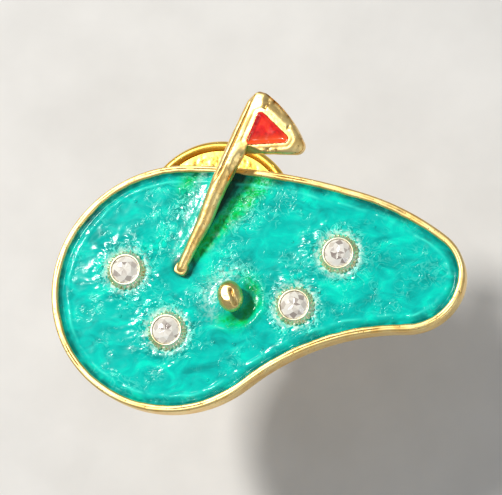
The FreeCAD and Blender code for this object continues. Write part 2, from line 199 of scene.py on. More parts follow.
def make_piece(name, vertices, faces, sharp_degrees=40, layers=None):
    """A mesh piece from vertices in millimetres, smooth except across edges sharper than the angle."""
    mesh = bpy.data.meshes.new(name)
    mesh.from_pydata((np.asarray(vertices) * MM).tolist(), [], faces)
    for layer, values in (layers or {}).items():
        store_layer(mesh, layer, values)
    cleaned = bmesh.new()
    cleaned.from_mesh(mesh)
    bmesh.ops.remove_doubles(cleaned, verts=cleaned.verts, dist=1e-8)
    bmesh.ops.recalc_face_normals(cleaned, faces=cleaned.faces)
    cleaned.to_mesh(mesh)
    cleaned.free()
    mesh.shade_smooth()
    mesh.set_sharp_from_angle(angle=math.radians(sharp_degrees))
    return add_object(name, mesh)


def ring_quads(steps, stack, count):
    """Quads for so many steps from ring to ring in a stack; one step more than its gaps closes it."""
    faces = []
    for level in range(steps):
        low, high = level * count, (level + 1) % stack * count
        for index in range(count):
            after = (index + 1) % count
            faces.append((low + index, low + after, high + after, high + index))
    return faces


def skin(rings):
    """Vertices and faces of a closed skin over a stack of rings, with a fan at each end."""
    rings = np.asarray(rings)
    stack, count, _ = rings.shape
    vertices = np.vstack([rings.reshape(-1, 3), rings[0].mean(0), rings[-1].mean(0)])
    first_end = stack * count
    faces = ring_quads(stack - 1, stack, count)
    last = (stack - 1) * count
    for index in range(count):
        after = (index + 1) % count
        faces.append((first_end, after, index))
        faces.append((first_end + 1, last + index, last + after))
    return vertices, faces


def rounded_path(corners, radius, steps=5):
    """A polyline with each inner corner rounded: the turn starts within the radius of the corner."""
    corners = [np.array(corner, float) for corner in corners]
    path = [corners[0]]
    for before, corner, after in zip(corners, corners[1:], corners[2:]):
        back, on = before - corner, after - corner
        reach = min(radius, 0.45 * np.linalg.norm(back), 0.45 * np.linalg.norm(on))
        start = corner + back / np.linalg.norm(back) * reach
        end = corner + on / np.linalg.norm(on) * reach
        for share in np.linspace(0, 1, steps):
            path.append((1 - share) ** 2 * start + 2 * share * (1 - share) * corner + share**2 * end)
    path.append(corners[-1])
    return np.array(path)


def lathe_rings(profile, sectors=LATHE_SECTORS):
    """Rings turned about Z from (radius, height) points."""
    angles = np.linspace(0, math.tau, sectors, endpoint=False)
    circle = np.stack([np.cos(angles), np.sin(angles)], 1)
    return np.array([
        np.column_stack([radius * circle, np.full(sectors, height)]) for radius, height in profile
    ])


def stand_in(piece, node, body, material):
    """The piece replaces the CAD node, rides on its body and wears the material."""
    piece.data.materials.clear()
    piece.data.materials.append(material)
    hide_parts(node)
    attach(piece, body)
    return piece


def soften(piece, voxel, relax):
    """Rebuild the piece on a fine grid and relax it, which rounds off its edges."""
    remesh = piece.modifiers.new("remesh", "REMESH")
    remesh.mode = "VOXEL"
    remesh.voxel_size = voxel * MM
    smooth = piece.modifiers.new("smooth", "SMOOTH")
    smooth.factor = 0.5
    smooth.iterations = relax
    evaluated = piece.evaluated_get(bpy.context.evaluated_depsgraph_get())
    mesh = bpy.data.meshes.new_from_object(evaluated)
    piece.modifiers.clear()
    piece.data = mesh
    mesh.shade_smooth()


def soft_copy(node, name, voxel, relax):
    """A copy of a CAD node with its edges rounded off, as casting and tumbling leave them."""
    piece = add_object(name, frame["nodes"][node].data.copy())
    soften(piece, voxel, relax)
    return piece


def roughen(piece, size, depth, seed, octaves=3):
    """Push a piece's vertices in and out along their normals by smooth noise."""
    places = read_places(piece)
    normals = np.empty(places.size, np.float32)
    piece.data.vertex_normals.foreach_get("vector", normals)
    height = lumps(places / MM, size, seed, octaves) * depth * MM
    places += normals.reshape(-1, 3) * height[:, None]
    write_places(piece, places)


def mark_crease_shade(piece, spread=3, also=0.0):
    """Give each vertex a painted-shade value: 1 down in a crease, 0 on flats and edges, or also's if higher;
    the gold is darkened there as painted shade.
    """
    mesh = piece.data
    shape = bmesh.new()
    shape.from_mesh(mesh)
    shape.verts.ensure_lookup_table()
    bend = np.zeros(len(shape.verts))
    for vertex in shape.verts:
        neighbours = [edge.other_vert(vertex).co for edge in vertex.link_edges]
        if neighbours:
            middle = sum(neighbours, Vector()) / len(neighbours)
            length = sum((place - vertex.co).length for place in neighbours) / len(neighbours)
            bend[vertex.index] = (middle - vertex.co).dot(vertex.normal) / max(length, 1e-9)
    ends = np.array([[edge.verts[0].index, edge.verts[1].index] for edge in shape.edges])
    shape.free()
    count = np.bincount(ends.ravel(), minlength=len(bend))
    for _ in range(spread):
        total = np.bincount(ends[:, 0], bend[ends[:, 1]], len(bend))
        total += np.bincount(ends[:, 1], bend[ends[:, 0]], len(bend))
        bend = 0.5 * bend + 0.5 * total / np.maximum(count, 1)
    full_bend = 0.10
    store_layer(mesh, "crease_shade", np.maximum(np.clip(bend / full_bend, 0, 1), also))


# ---- Materials ----


class Nodes:
    """A short way to write a node material whose coordinates are in millimetres."""

    def __init__(self, name):
        self.material = bpy.data.materials.new(name)
        self.material.use_nodes = True
        self.tree = self.material.node_tree
        self.shader = self.tree.nodes["Principled BSDF"]
        self.place = self.scaled(self.add("TexCoord").outputs["Object"], (1 / MM, 1 / MM, 1 / MM))

    def link(self, output, target):
        self.tree.links.new(output, target)

    def put(self, node, values):
        """Constants on a node's own sockets, named with underscores for spaces."""
        for name, value in values.items():
            node.inputs[name.replace("_", " ")].default_value = value

    def set(self, **values):
        self.put(self.shader, values)

    def add(self, kind, **values):
        node = self.tree.nodes.new("ShaderNode" + kind)
        self.put(node, values)
        return node

    def scaled(self, place, scale):
        mapping = self.add("Mapping", Scale=scale)
        self.link(place, mapping.inputs["Vector"])
        return mapping.outputs["Vector"]

    def noise(self, size, detail=3, distortion=0.0, stretch=None):
        """Noise from 0 to 1 with features of the given size."""
        texture = self.add("TexNoise", Scale=1 / size, Detail=detail, Distortion=distortion, Roughness=0.55)
        place = self.place if stretch is None else self.scaled(self.place, stretch)
        self.link(place, texture.inputs["Vector"])
        return texture.outputs["Fac"]

    def specks(self, size):
        """Distance to the nearest of many scattered points, in units of the size."""
        texture = self.add("TexVoronoi", Scale=1 / size)
        self.link(self.place, texture.inputs["Vector"])
        return texture.outputs["Distance"]

    def ramp(self, value, stops):
        """Colour or grey looked up along stops of (position, colour)."""
        node = self.add("ValToRGB")
        node.color_ramp.elements[0].position = stops[0][0]
        node.color_ramp.elements[1].position = stops[-1][0]
        for position, _ in stops[1:-1]:
            node.color_ramp.elements.new(position)
        for element, (_, colour) in zip(node.color_ramp.elements, stops):
            element.color = (*colour, 1)
        self.link(value, node.inputs["Fac"])
        return node.outputs["Color"]

    def band(self, value, start, middle, end):
        """White at the middle, falling to black at the start and the end."""
        return self.ramp(value, [(start, BLACK), (middle, WHITE), (end, BLACK)])

    def mix(self, share, first, second):
        """One colour over another by a share; each is a socket or a constant."""
        node = self.add("Mix")
        node.data_type = "RGBA"
        for value, key in ((share, "Factor"), (first, "A"), (second, "B")):
            socket = next(s for s in node.inputs if s.name == key and s.enabled)
            if isinstance(value, bpy.types.NodeSocket):
                self.link(value, socket)
            else:
                socket.default_value = value if key == "Factor" else (*value, 1)
        return next(s for s in node.outputs if s.enabled)

    def spread(self, value, low, high):
        """Map 0..1 onto low..high."""
        node = self.add("MapRange", To_Min=low, To_Max=high)
        self.link(value, node.inputs["Value"])
        return node.outputs["Result"]

    def math(self, operation, first, second):
        node = self.add("Math")
        node.operation = operation
        self.link(first, node.inputs[0])
        self.link(second, node.inputs[1])
        return node.outputs["Value"]

    def attribute(self, name):
        """A layer of the mesh, as a value."""
        node = self.add("Attribute")
        node.attribute_name = name
        return node.outputs["Fac"]

    def bump(self, height, depth, before=None):
        """Bump of the given depth in millimetres, on top of an earlier one."""
        node = self.add("Bump", Distance=depth * MM, Strength=1.0)
        self.link(height, node.inputs["Height"])
        if before is not None:
            self.link(before, node.inputs["Normal"])
        return node.outputs["Normal"]

    def finish(self, colour=None, roughness=None, normal=None):
        """The material, with what is given linked to its shader."""
        for value, key in ((colour, "Base Color"), (roughness, "Roughness"), (normal, "Normal")):
            if value is not None:
                self.link(value, self.shader.inputs[key])
        return self.material


def gold(name, light, mid, dark, smooth, rough, pit_depth):
    """Plated metal: three close tones in soft patches, painted brown shade in the creases, with a few darker
    pits.
    """
    nodes = Nodes(name)
    nodes.set(Metallic=1.0)
    patches = nodes.noise(1.2, detail=5, distortion=0.5)
    colour = nodes.ramp(patches, [(0.34, dark), (0.48, mid), (0.60, light)])
    pits = nodes.ramp(nodes.noise(0.20, detail=2), [(0.27, BLACK), (0.36, WHITE)])
    # Brown: darker in the pits, and painted shade down in the creases.
    darker_pits_and_crease_shade = (0.30 * dark[0], 0.24 * dark[1], 0.16 * dark[2])
    colour = nodes.mix(nodes.spread(pits, 0.6, 0.0), colour, darker_pits_and_crease_shade)
    colour = nodes.mix(nodes.attribute("crease_shade"), colour, darker_pits_and_crease_shade)
    polish = nodes.spread(nodes.noise(0.6, detail=4), smooth, rough)
    normal = nodes.bump(pits, pit_depth)
    normal = nodes.bump(nodes.noise(0.10, detail=3), pit_depth * 0.25, normal)
    return nodes.finish(colour, polish, normal)


def enamel_green():
    """Teal cold enamel: brushed-out patches, wrinkled curls with painted mint highlights on their crests and
    painted shade in their troughs, emerald over bright gold, painted shade and shadows, painted highlights
    on the folded ridges, and whitish frosting mixed with painted highlights.
    """
    nodes = Nodes("green_enamel_gloss")
    nodes.set(Coat_Weight=0.05, Coat_Roughness=0.06, IOR=1.46, Specular_IOR_Level=0.25)
    clouds = nodes.noise(1.7, detail=4, distortion=0.9, stretch=(0.8, 1.25, 1.0))
    colour = nodes.ramp(clouds, [
        (0.32, (0.0, 0.36, 0.32)),
        (0.45, (0.0, 0.52, 0.45)),
        (0.56, (0.0, 0.63, 0.52)),
        (0.68, (0.0, 0.84, 0.62)),
    ])
    emerald = nodes.ramp(nodes.noise(0.45, detail=3, distortion=1.0), [
        (0.34, (0.0, 0.34, 0.07)),
        (0.48, (0.0, 0.62, 0.09)),
        (0.66, (0.0, 0.80, 0.32)),
    ])
    colour = nodes.mix(nodes.attribute("glow"), colour, emerald)
    curls = nodes.noise(0.9, detail=2, distortion=1.8)
    crinkle = nodes.attribute("crinkle")
    # Painted shade in the wrinkles' troughs and painted mint highlights on their crests.
    trough_shade = nodes.band(curls, 0.51, 0.555, 0.61)
    colour = nodes.mix(nodes.math("MULTIPLY", crinkle, trough_shade), colour, (0.0, 0.22, 0.19))
    crest_highlight = nodes.band(curls, 0.42, 0.47, 0.52)
    colour = nodes.mix(nodes.math("MULTIPLY", crinkle, crest_highlight), colour, (0.16, 0.95, 0.78))
    # Painted shade and painted shadows, nearly black green.
    colour = nodes.mix(nodes.attribute("deep"), colour, (0.0, 0.030, 0.016))
    # Painted pale mint highlights on the folded ridges.
    colour = nodes.mix(nodes.attribute("fold"), colour, (0.05, 0.92, 0.72))
    # Whitish frosting mixed with painted highlights.
    frost = nodes.ramp(nodes.noise(0.32, detail=3, distortion=0.8), [(0.40, BLACK), (0.56, WHITE)])
    frost_and_highlight_share = nodes.math("MULTIPLY", nodes.attribute("frost"), frost)
    colour = nodes.mix(frost_and_highlight_share, colour, (0.62, 0.95, 0.84))
    gloss = nodes.spread(nodes.noise(0.7, detail=3), 0.10, 0.20)
    ripple = nodes.bump(nodes.noise(0.55, detail=2, distortion=0.6), 0.006)
    ripple = nodes.bump(nodes.math("MULTIPLY", crinkle, crest_highlight), 0.02, ripple)
    bubbles = nodes.ramp(nodes.specks(1.5), [(0.04, WHITE), (0.09, BLACK)])
    return nodes.finish(colour, gloss, nodes.bump(bubbles, 0.06, ripple))


def enamel_red():
    """Red cold enamel with an orange cast towards the lower end of its cell."""
    nodes = Nodes("red_enamel_gloss")
    nodes.set(Coat_Weight=0.6, Coat_Roughness=0.05, IOR=1.5)
    colour = nodes.ramp(nodes.noise(0.8, detail=4, distortion=0.8), [
        (0.32, (0.50, 0.0, 0.0)),
        (0.5, (0.86, 0.010, 0.008)),
        (0.7, (0.98, 0.06, 0.015)),
    ])
    colour = nodes.mix(nodes.attribute("thin"), colour, (1.0, 0.13, 0.015))
    gloss = nodes.spread(nodes.noise(0.4), 0.1, 0.25)
    return nodes.finish(colour, gloss, nodes.bump(nodes.noise(0.4, detail=2), 0.004))


def crystal_clear():
    """Foil-backed cut glass with painted reflections: each facet carries its own grey tone."""
    nodes = Nodes("crystal_cut")
    nodes.set(Coat_Weight=1.0, Coat_Roughness=0.02, IOR=1.56, Transmission_Weight=0.08)
    tone = nodes.ramp(nodes.attribute("facet"), [
        (0.0, (0.34, 0.28, 0.25)),
        (0.25, (0.66, 0.60, 0.54)),
        (0.5, (0.92, 0.87, 0.78)),
        (1.0, (1.0, 0.98, 0.92)),
    ])
    grain = nodes.spread(nodes.noise(0.08, detail=2), 0.04, 0.14)
    return nodes.finish(tone, grain, nodes.bump(nodes.noise(0.12, detail=2), 0.004))


def floor_paint():
    """Pale matt paint with faint, broad patches."""
    nodes = Nodes("pale_floor")
    speckle = nodes.ramp(nodes.noise(6.0, detail=3), [(0.3, (0.74, 0.73, 0.71)), (0.7, (0.80, 0.79, 0.77))])
    nodes.set(Roughness=0.85)
    return nodes.finish(speckle)


GILT = gold("gilt_casting", (1.0, 0.77, 0.34), (0.98, 0.70, 0.27), (0.92, 0.59, 0.19), 0.36, 0.48, 0.012)
MILLED = gold("milled_gilt", (1.0, 0.96, 0.76), (0.98, 0.90, 0.62), (0.88, 0.76, 0.44), 0.36, 0.50, 0.010)
POST = gold("plated_post", (1.0, 0.74, 0.34), (0.96, 0.64, 0.24), (0.84, 0.48, 0.14), 0.20, 0.32, 0.004)
STAMPED = gold("clutch_brass", (1.0, 0.67, 0.13), (0.97, 0.61, 0.11), (0.88, 0.52, 0.08), 0.28, 0.40, 0.014)
BRONZE = gold("spring_bronze", (0.80, 0.50, 0.28), (0.68, 0.40, 0.20), (0.48, 0.26, 0.12), 0.24, 0.40, 0.004)
GREEN = enamel_green()
RED = enamel_red()
CLEAR = crystal_clear()

# ---- The green's outline ----


def closed_curve(points, count):
    """Evenly spaced points and inward normals on a smooth closed curve through anticlockwise points."""
    knots = np.vstack([points, points[:1]])
    steps = np.linalg.norm(np.diff(knots, axis=0), axis=1)
    chord = np.concatenate([[0], np.cumsum(steps)])
    slopes = np.diff(knots, axis=0) / steps[:, None]
    step_before, step_after = np.roll(steps, 1)[:, None], steps[:, None]
    tangents = (np.roll(slopes, 1, 0) * step_after + slopes * step_before) / (step_before + step_after)
    tangents = np.vstack([tangents, tangents[:1]])

    def at(travel):
        index = np.clip(np.searchsorted(chord, travel, side="right") - 1, 0, len(steps) - 1)
        span = steps[index][:, None]
        share = ((travel - chord[index]) / steps[index])[:, None]
        start_weight = 2 * share**3 - 3 * share**2 + 1
        end_weight = -2 * share**3 + 3 * share**2
        start_pull = (share**3 - 2 * share**2 + share) * span
        end_pull = (share**3 - share**2) * span
        return (
            start_weight * knots[index] + end_weight * knots[index + 1]
            + start_pull * tangents[index] + end_pull * tangents[index + 1]
        )

    curve = at(np.linspace(0, chord[-1], count, endpoint=False))
    along = np.roll(curve, -1, 0) - np.roll(curve, 1, 0)
    along /= np.linalg.norm(along, axis=1)[:, None]
    return curve, np.column_stack([-along[:, 1], along[:, 0]])


def plate_outline():
    """The plate's outer edge, read from the foot of its side wall."""
    mesh = frame["nodes"]["base_plate"].data
    points = np.array([vertex.co for vertex in mesh.vertices]) / MM
    middle = centre_of("base_plate")[:2]
    foot = points[np.abs(points[:, 2] - CAD_ROUNDING) < 0.002][:, :2]
    foot = np.unique(np.round(foot, 3), axis=0)
    angle = np.arctan2(foot[:, 1] - middle[1], foot[:, 0] - middle[0])
    return foot[np.argsort(angle)]


OUTLINE, INWARD = closed_curve(plate_outline(), SECTORS)
HUB = OUTLINE.mean(0)


def outline_ring(inset, height):
    """A ring at the given distance inside the plate's edge."""
    ring = OUTLINE + INWARD * np.reshape(inset, (-1, 1))
    return np.column_stack([ring, np.broadcast_to(height, SECTORS)])


def shrunk_ring(ring, share):
    """A ring drawn in towards the hub: share 1 is the ring itself and 0 is the hub."""
    drawn = ring.copy()
    drawn[:, :2] = HUB + (ring[:, :2] - HUB) * share
    return drawn


# ---- Plate and enamel ----


def base_plate():
    """The cast plate: a stippled back inside a flat border, a hand-finished rim and the sunk floor."""
    rim_top = box_mm("base_plate")[1][2]
    floor_top = box_mm("green_enamel")[0][2]
    field, border = 0.05, 0.75
    crease_inset = 0.26
    corners = [
        (border + 0.12, field),
        (border, 0.0),
        (0.0, 0.0),
        (0.02, 0.5 * rim_top),
        (0.0, rim_top),
        (RIM_WIDTH, rim_top),
        (RIM_WIDTH + 0.03, floor_top),
    ]
    profile = rounded_path(corners, RIM_ROUNDING, steps=6)
    crown = np.flatnonzero(profile[:, 1] > rim_top - 0.001)
    crease = np.column_stack([np.linspace(0.21, 0.31, 5), np.full(5, rim_top)])
    profile = np.insert(profile, crown[-1], crease, axis=0)
    circle = outline_ring(0, 0)
    wobble = lumps(circle, 2.2, 3)
    jitter = lumps(circle, 0.6, 5)
    creased = mottle(circle, 0.35, 1.0, 3.5, 6)
    rings = []
    for inset, height in profile:
        rim_share = smoothstep(height, 0.6 * rim_top, rim_top)
        inner_share = smoothstep(inset, 0.2, RIM_WIDTH) * (inset < border) * rim_share
        moved = inset + (0.045 * wobble + 0.02 * jitter) * inner_share
        fall = 0.015 * rim_share * (1 + wobble)
        fall += 0.05 * creased * gauss(inset, crease_inset, 0.035) * rim_share
        rings.append(outline_ring(moved, height - fall))
    back = [shrunk_ring(rings[0], share) for share in np.linspace(0.02, 0.985, 60)]
    for ring in back:
        ring[:, 2] = field + 0.02 * lumps(ring, 0.28, 8, 2)
    piece = make_piece("plate", *skin(back + rings))
    # Painted shade in the plate's creases and in the groove on the rim.
    mark_crease_shade(piece)
    return stand_in(piece, "base_plate", "marker", GILT)


POLE_TURN = Matrix.Rotation(-POLE_BEARING, 3, "Z") @ Matrix.Rotation(POLE_CLIMB, 3, "X")
BALL = centre_of("golf_ball")
TOWARDS_LIGHT = np.array([-0.87, 0.5])
STONES = ["upper_left", "lower_left", "upper_right", "lower_right"]
STONE_PLACES = {stone: centre_of(f"crystal_{stone}")[:2] for stone in STONES}


def from_pole(points):
    """Points given as (across, along, up) in the pole's frame, in the marker's frame."""
    return np.asarray(points) @ np.array(POLE_TURN).T + np.array(POLE_FOOT)


def to_pole(points):
    """Points of the marker's frame as (across, along, up) in the pole's frame."""
    return (np.asarray(points) - np.array(POLE_FOOT)) @ np.array(POLE_TURN)


def beside_pole(points):
    """Distance across from the pole's axis (positive on the right), how far up it, and whether beside it."""
    local = to_pole(points)
    return local[:, 0], local[:, 1], smoothstep(local[:, 1], -0.8, 0.2)


def round_ball(points):
    """Distance from the ball's axis, and how much each place lies to its upper left."""
    offset = points[:, :2] - BALL[:2]
    away = np.linalg.norm(offset, axis=1)
    return away, (offset @ TOWARDS_LIGHT) / np.maximum(away, 0.01)


def enamel_relief(points, crinkle):
    """Height that the enamel adds to its level at each place, away from the rim."""
    plane = points[:, :2]
    ragged = mottle(points, 0.7, 0.6, 0.6, 15, 0.2, 1.3)
    relief = 0.025 * lumps(points, 2.4, 11) + 0.013 * lumps(points, 0.8, 12, 2)
    for place in STONE_PLACES.values():
        away = np.linalg.norm(plane - place, axis=1)
        relief += 0.13 * ragged * smoothstep(away, 1.32, 1.66) * gauss(np.maximum(away, 1.72), 1.72, 1.1)
    away, lit = round_ball(points)
    relief += 0.26 * ragged * gauss(away, 1.05, 0.42) * smoothstep(lit, -0.2, 0.7)
    relief += 0.13 * gauss(away, 2.25, 0.30) * smoothstep(-lit, -0.3, 0.5)
    relief -= 0.06 * gauss(away, 1.5, 0.4) * smoothstep(-lit, 0.0, 0.6)
    across, along, near = beside_pole(points)
    climb = np.clip(along / RIM_CROSSING, 0, 1)
    ridge = np.exp(-((np.clip(np.abs(across) - 0.2, 0, None) / 0.85) ** 2)) * near
    relief += (0.05 + 0.17 * climb) * ridge
    relief += 0.03 * gauss(across, -1.15, 0.20) * climb * near
    relief += 0.03 * ridge * lumps(to_pole(points) * [1.0, 0.25, 1.0], 0.4, 13)
    relief += 0.030 * crinkle**2 * lumps(points, 0.32, 14, 2)
    return relief


def fold_line(points):
    """How far in from the rim the folded-back edge of the enamel runs."""
    return 0.66 + 0.12 * lumps(points, 2.5, 23)


def tints_by_pole(points):
    """Painted shadow of the pole with a painted grey reflection streak in it, and an emerald band, on its
    right; a painted pale highlight line and whitish painted highlight streaks on its left.
    """
    across, along, near = beside_pole(points)
    climb = np.clip(along / RIM_CROSSING, 0, 1)
    band_start = 2.8
    # Painted shadow of the pole on the enamel to its right, with a lighter painted reflection streak within
    # it.
    pole_shadow_end = 0.30 + 0.20 * np.clip(along - band_start, -1, None)
    pole_shadow = smoothstep(across, -0.1, 0.1) * (1 - smoothstep(across - pole_shadow_end, -0.12, 0.22)) * near
    reflection_streak = gauss(across, 0.30 + 0.55 * pole_shadow_end, 0.06) * mottle(points, 0.5, 1.0, 0.8, 26)
    # A painted ring of shade round the stub's foot.
    foot = 0.75 * gauss(np.hypot(across, along), 0.72, 0.20)
    band = 0.95 + 0.27 * np.clip(along - band_start, -3, None)
    glow = gauss(across, band, 0.36 + 0.42 * climb) * smoothstep(along, 0.0, 1.6) * near
    patch = gauss(across, -2.5, 0.6) * gauss(along, 6.0, 1.4)
    # Painted highlights: sparkles beyond the emerald band, and a whitish streak on the pole's left.
    sparkle = gauss(across, band + 0.35, 0.45) * smoothstep(along, 1.0, 3.0) * near
    lit_streak = gauss(across, -1.35 - 0.06 * along, 0.22) * smoothstep(along, 1.5, 6.0)
    crinkle = gauss(across, 2.4, 1.0) * (0.5 + 0.5 * climb) * near
    return {
        "deep": np.maximum(0.95 * pole_shadow * (1 - 0.45 * reflection_streak), foot),
        "glow": np.maximum(1.7 * glow, patch),
        "frost": np.maximum(
            0.35 * sparkle * mottle(points, 0.0, 1.6, 0.7, 28),
            0.75 * lit_streak * mottle(points, 0.6, 1.0, 1.2, 29),
        ),
        "crinkle": np.maximum(crinkle, gauss(across, -2.0, 0.9) * near),
        # A painted pale highlight along the ridge left of the pole.
        "fold": 0.6 * gauss(across, -0.95, 0.22) * mottle(points, 0.6, 0.6, 0.9, 27) * near,
    }


def tints_by_ball(points):
    """Painted highlights in a curve and a broader whitish spread on the ball's upper left, and a painted
    shadow with emerald on its lower right.
    """
    away, lit = round_ball(points)
    # Painted highlights on the upper left, and the ball's painted shadow on the lower right.
    highlight_arc = 0.95 * gauss(away, 1.45, 0.28) * smoothstep(lit, 0.35, 0.9)
    highlight_haze = 0.40 * gauss(away, 1.9, 0.5) * smoothstep(lit, -0.1, 0.6)
    ball_shadow = gauss(away, 1.35, 0.42) * smoothstep(-lit, -0.1, 0.5)
    return {
        "deep": 0.55 * ball_shadow,
        "glow": gauss(away, 1.6, 0.6) * smoothstep(-lit, -0.5, 0.4),
        "frost": np.maximum(highlight_arc, highlight_haze),
        "crinkle": gauss(away, 2.0, 0.8) * smoothstep(points[:, 1] - BALL[1], -0.6, 0.6),
    }


def tints_by_stone(points, place, ragged):
    """A ragged ring close to the cup, whitish frosting mixed with painted highlights, and wrinkles round it.
    """
    away = np.linalg.norm(points[:, :2] - place, axis=1)
    return {
        # Whitish frosting mixed with painted highlights.
        "frost": 1.2 * ragged * (1 - smoothstep(away, 1.45, 1.95)),
        "crinkle": gauss(away, 1.8, 0.45),
    }


def tints_by_rim(points, inset):
    """A painted pale highlight a little way in from the rim along the folded ridge, and painted shade in a
    band against the rim.
    """
    fold = 0.8 * (gauss(inset, fold_line(points), 0.10) * mottle(points, 0.6, 1.2, 1.6, 24))
    # Painted shade in a band against the rim.
    shore = 0.70 * (gauss(inset, 0.10, 0.24) * mottle(points, 0.75, 0.7, 0.9, 25))
    return {"fold": fold, "deep": shore}


def enamel_tints(points, inset):
    """Where the enamel glows emerald or wrinkles, and where its painted highlights, whitish frosting,
    painted shade and painted shadows lie.
    """
    ragged = mottle(points, 0.75, 0.8, 0.5, 30)
    parts = [tints_by_pole(points), tints_by_ball(points), tints_by_rim(points, inset)]
    parts += [tints_by_stone(points, place, ragged) for place in STONE_PLACES.values()]
    tints = {}
    for part in parts:
        for name, values in part.items():
            tints[name] = np.maximum(tints.get(name, values), values)
    patches = mottle(points, 0.45, 1.5, 1.6, 21)
    tints["crinkle"] = np.maximum(tints["crinkle"] * (0.45 + 0.55 * patches), 0.30 * patches**2)
    tints["glow"] = np.clip(tints["glow"] * (0.95 + 0.6 * lumps(points, 0.7, 22)), 0, 1)
    return tints


def green_enamel():
    """The enamel as it set: brushed out flat, wrinkled, dipping at the rim and folded back beside it."""
    floor_top = box_mm("green_enamel")[0][2]
    wall = RIM_WIDTH - ENAMEL_BITE
    steps = np.linspace(0, 1, SHORE_RINGS) ** 1.25 * SHORE_WIDTH
    shares = np.linspace(1, 0.012, CENTRE_RINGS)[1:]
    shore = outline_ring(wall + SHORE_WIDTH, 0)
    outer = [outline_ring(wall + step, 0) for step in steps]
    rings = np.array(outer + [shrunk_ring(shore, share) for share in shares])
    far_inside = 9.0
    inset = np.concatenate([steps, np.full(len(shares), far_inside)]) - ENAMEL_BITE
    points = rings.reshape(-1, 3)
    inset = np.repeat(inset, SECTORS)
    ragged = mottle(points, 0.55, 0.9, 1.6, 24, 0.1, 1.3)
    rise = 0.16 * np.exp(-np.clip(inset, 0, None) / 0.07)
    rise -= 0.09 * gauss(inset, 0.26, 0.15)
    rise += 0.09 * ragged * gauss(inset, fold_line(points), 0.13)
    tints = enamel_tints(points, inset)
    relief = enamel_relief(points, tints["crinkle"])
    rings[:, :, 2] = (ENAMEL_LEVEL + rise + relief).reshape(len(rings), SECTORS)
    bottom = [outline_ring(wall, floor_top)]
    layers = {
        name: np.concatenate([np.zeros(SECTORS), values, [0.0, values[-1]]])
        for name, values in tints.items()
    }
    piece = make_piece("enamel_green", *skin(np.concatenate([bottom, rings])), 70, layers)
    return stand_in(piece, "green_enamel", "marker", GREEN)


# ---- Flag, ball and stones ----


def pole_girth(along):
    """The rod's radius at a place along it."""
    stations, girths = zip(*POLE_GIRTH)
    return np.interp(along, stations, girths)


def crease_angle(along):
    """Where the crease lies round the rod: on top beside the pennant, and off to the left lower down."""
    return math.radians(130) - math.radians(26) * smoothstep(along, 5.6, 7.8)


def pole_rod():
    """The rod: a wide right face, a narrow bright left one, and a slight bow to the right low down."""
    angles = np.linspace(0, math.tau, POLE_SECTORS, endpoint=False)
    ridge = math.radians(112)
    rings = []
    for along in np.linspace(POLE_START, POLE_END, POLE_RINGS):
        girth = float(pole_girth(along)) * math.sqrt(max(0.02, 1 - max(0, -along / 0.36) ** 2))
        turn = np.abs((angles - ridge + math.pi) % math.tau - math.pi)
        reach = girth * (1 - 0.06 * smoothstep(turn, 0.1, 0.9) + 0.05 * smoothstep(turn, 1.1, 1.9))
        reach -= 0.11 * gauss(angles, crease_angle(along), 0.15) * float(smoothstep(along, 6.2, 7.4))
        bow = 0.10 * math.exp(-(((along - 3.6) / 1.6) ** 2))
        across = bow + reach * np.cos(angles)
        rings.append(np.column_stack([across, np.full(POLE_SECTORS, along), reach * np.sin(angles)]))
    return make_piece("rod", *skin(from_pole(np.vstack(rings)).reshape(POLE_RINGS, POLE_SECTORS, 3)))


def pole_foot():
    """The stub in the enamel that the rod stands on: a short square-shouldered cup with a worn edge."""
    bottom = box_mm("flagpole")[0][2]
    top = POLE_FOOT.z + STUB_STANDS
    sectors = 64
    profile = rounded_path([
        (STUB_RADIUS, bottom),
        (STUB_RADIUS, 1.70),
        (STUB_RADIUS, top),
        (0.30, top + 0.02),
        (0.05, top - 0.06),
    ], 0.06, steps=5)
    rings = lathe_rings(profile, sectors)
    angles = np.linspace(0, math.tau, sectors, endpoint=False) + POLE_BEARING
    squared = 1 / np.maximum(np.abs(np.cos(angles)), np.abs(np.sin(angles))) ** 0.45
    rings[:, :, :2] *= (0.90 * squared)[None, :, None]
    return make_piece("stub", *skin(rings + np.array([POLE_FOOT.x - 0.03, POLE_FOOT.y - 0.05, 0])))


def pole_rest():
    """The small peg between the rod and the rim."""
    place = from_pole([[0, PEG_ALONG, 0]])[0]
    rim_top = box_mm("base_plate")[1][2]
    profile = [(0.30, rim_top - 0.03), (PEG_RADIUS, rim_top + 0.25), (0.26, place[2])]
    return make_piece("peg", *skin(lathe_rings(profile, 32) + np.array([place[0], place[1], 0])))


def fused(pieces, name, voxel, relax):
    """One watertight piece from overlapping ones."""
    shape = bmesh.new()
    for piece in pieces:
        shape.from_mesh(piece.data)
        bpy.data.objects.remove(piece)
    mesh = bpy.data.meshes.new(name)
    shape.to_mesh(mesh)
    shape.free()
    piece = add_object(name, mesh)
    soften(piece, voxel, relax)
    return piece


def local_places(piece):
    """The piece's vertices as (across, along, up) in the pole's frame."""
    return to_pole(read_places(piece) / MM)


def flagpole():
    """The rod, its stub and its peg in one, with painted shade along the crease beside the pennant."""
    pole = fused([pole_rod(), pole_foot(), pole_rest()], "pole", 0.036, 2)
    roughen(pole, 1.3, 0.025, 31)
    roughen(pole, 0.35, 0.007, 34)
    across, along, up = local_places(pole).T
    crease = pole_girth(along) * np.cos(crease_angle(along))
    # Painted shade in the creases, with a line of it along the rod's crease beside the pennant.
    mark_crease_shade(pole, also=gauss(across, crease, 0.07) * smoothstep(along, 6.2, 7.4) * (up > 0.1))
    return stand_in(pole, "flagpole", "marker", GILT)


def turns_left(first, middle, last):
    """Whether a path through three flat points turns anticlockwise at the middle one."""
    return np.cross(np.subtract(middle, first), np.subtract(last, middle)) > 0


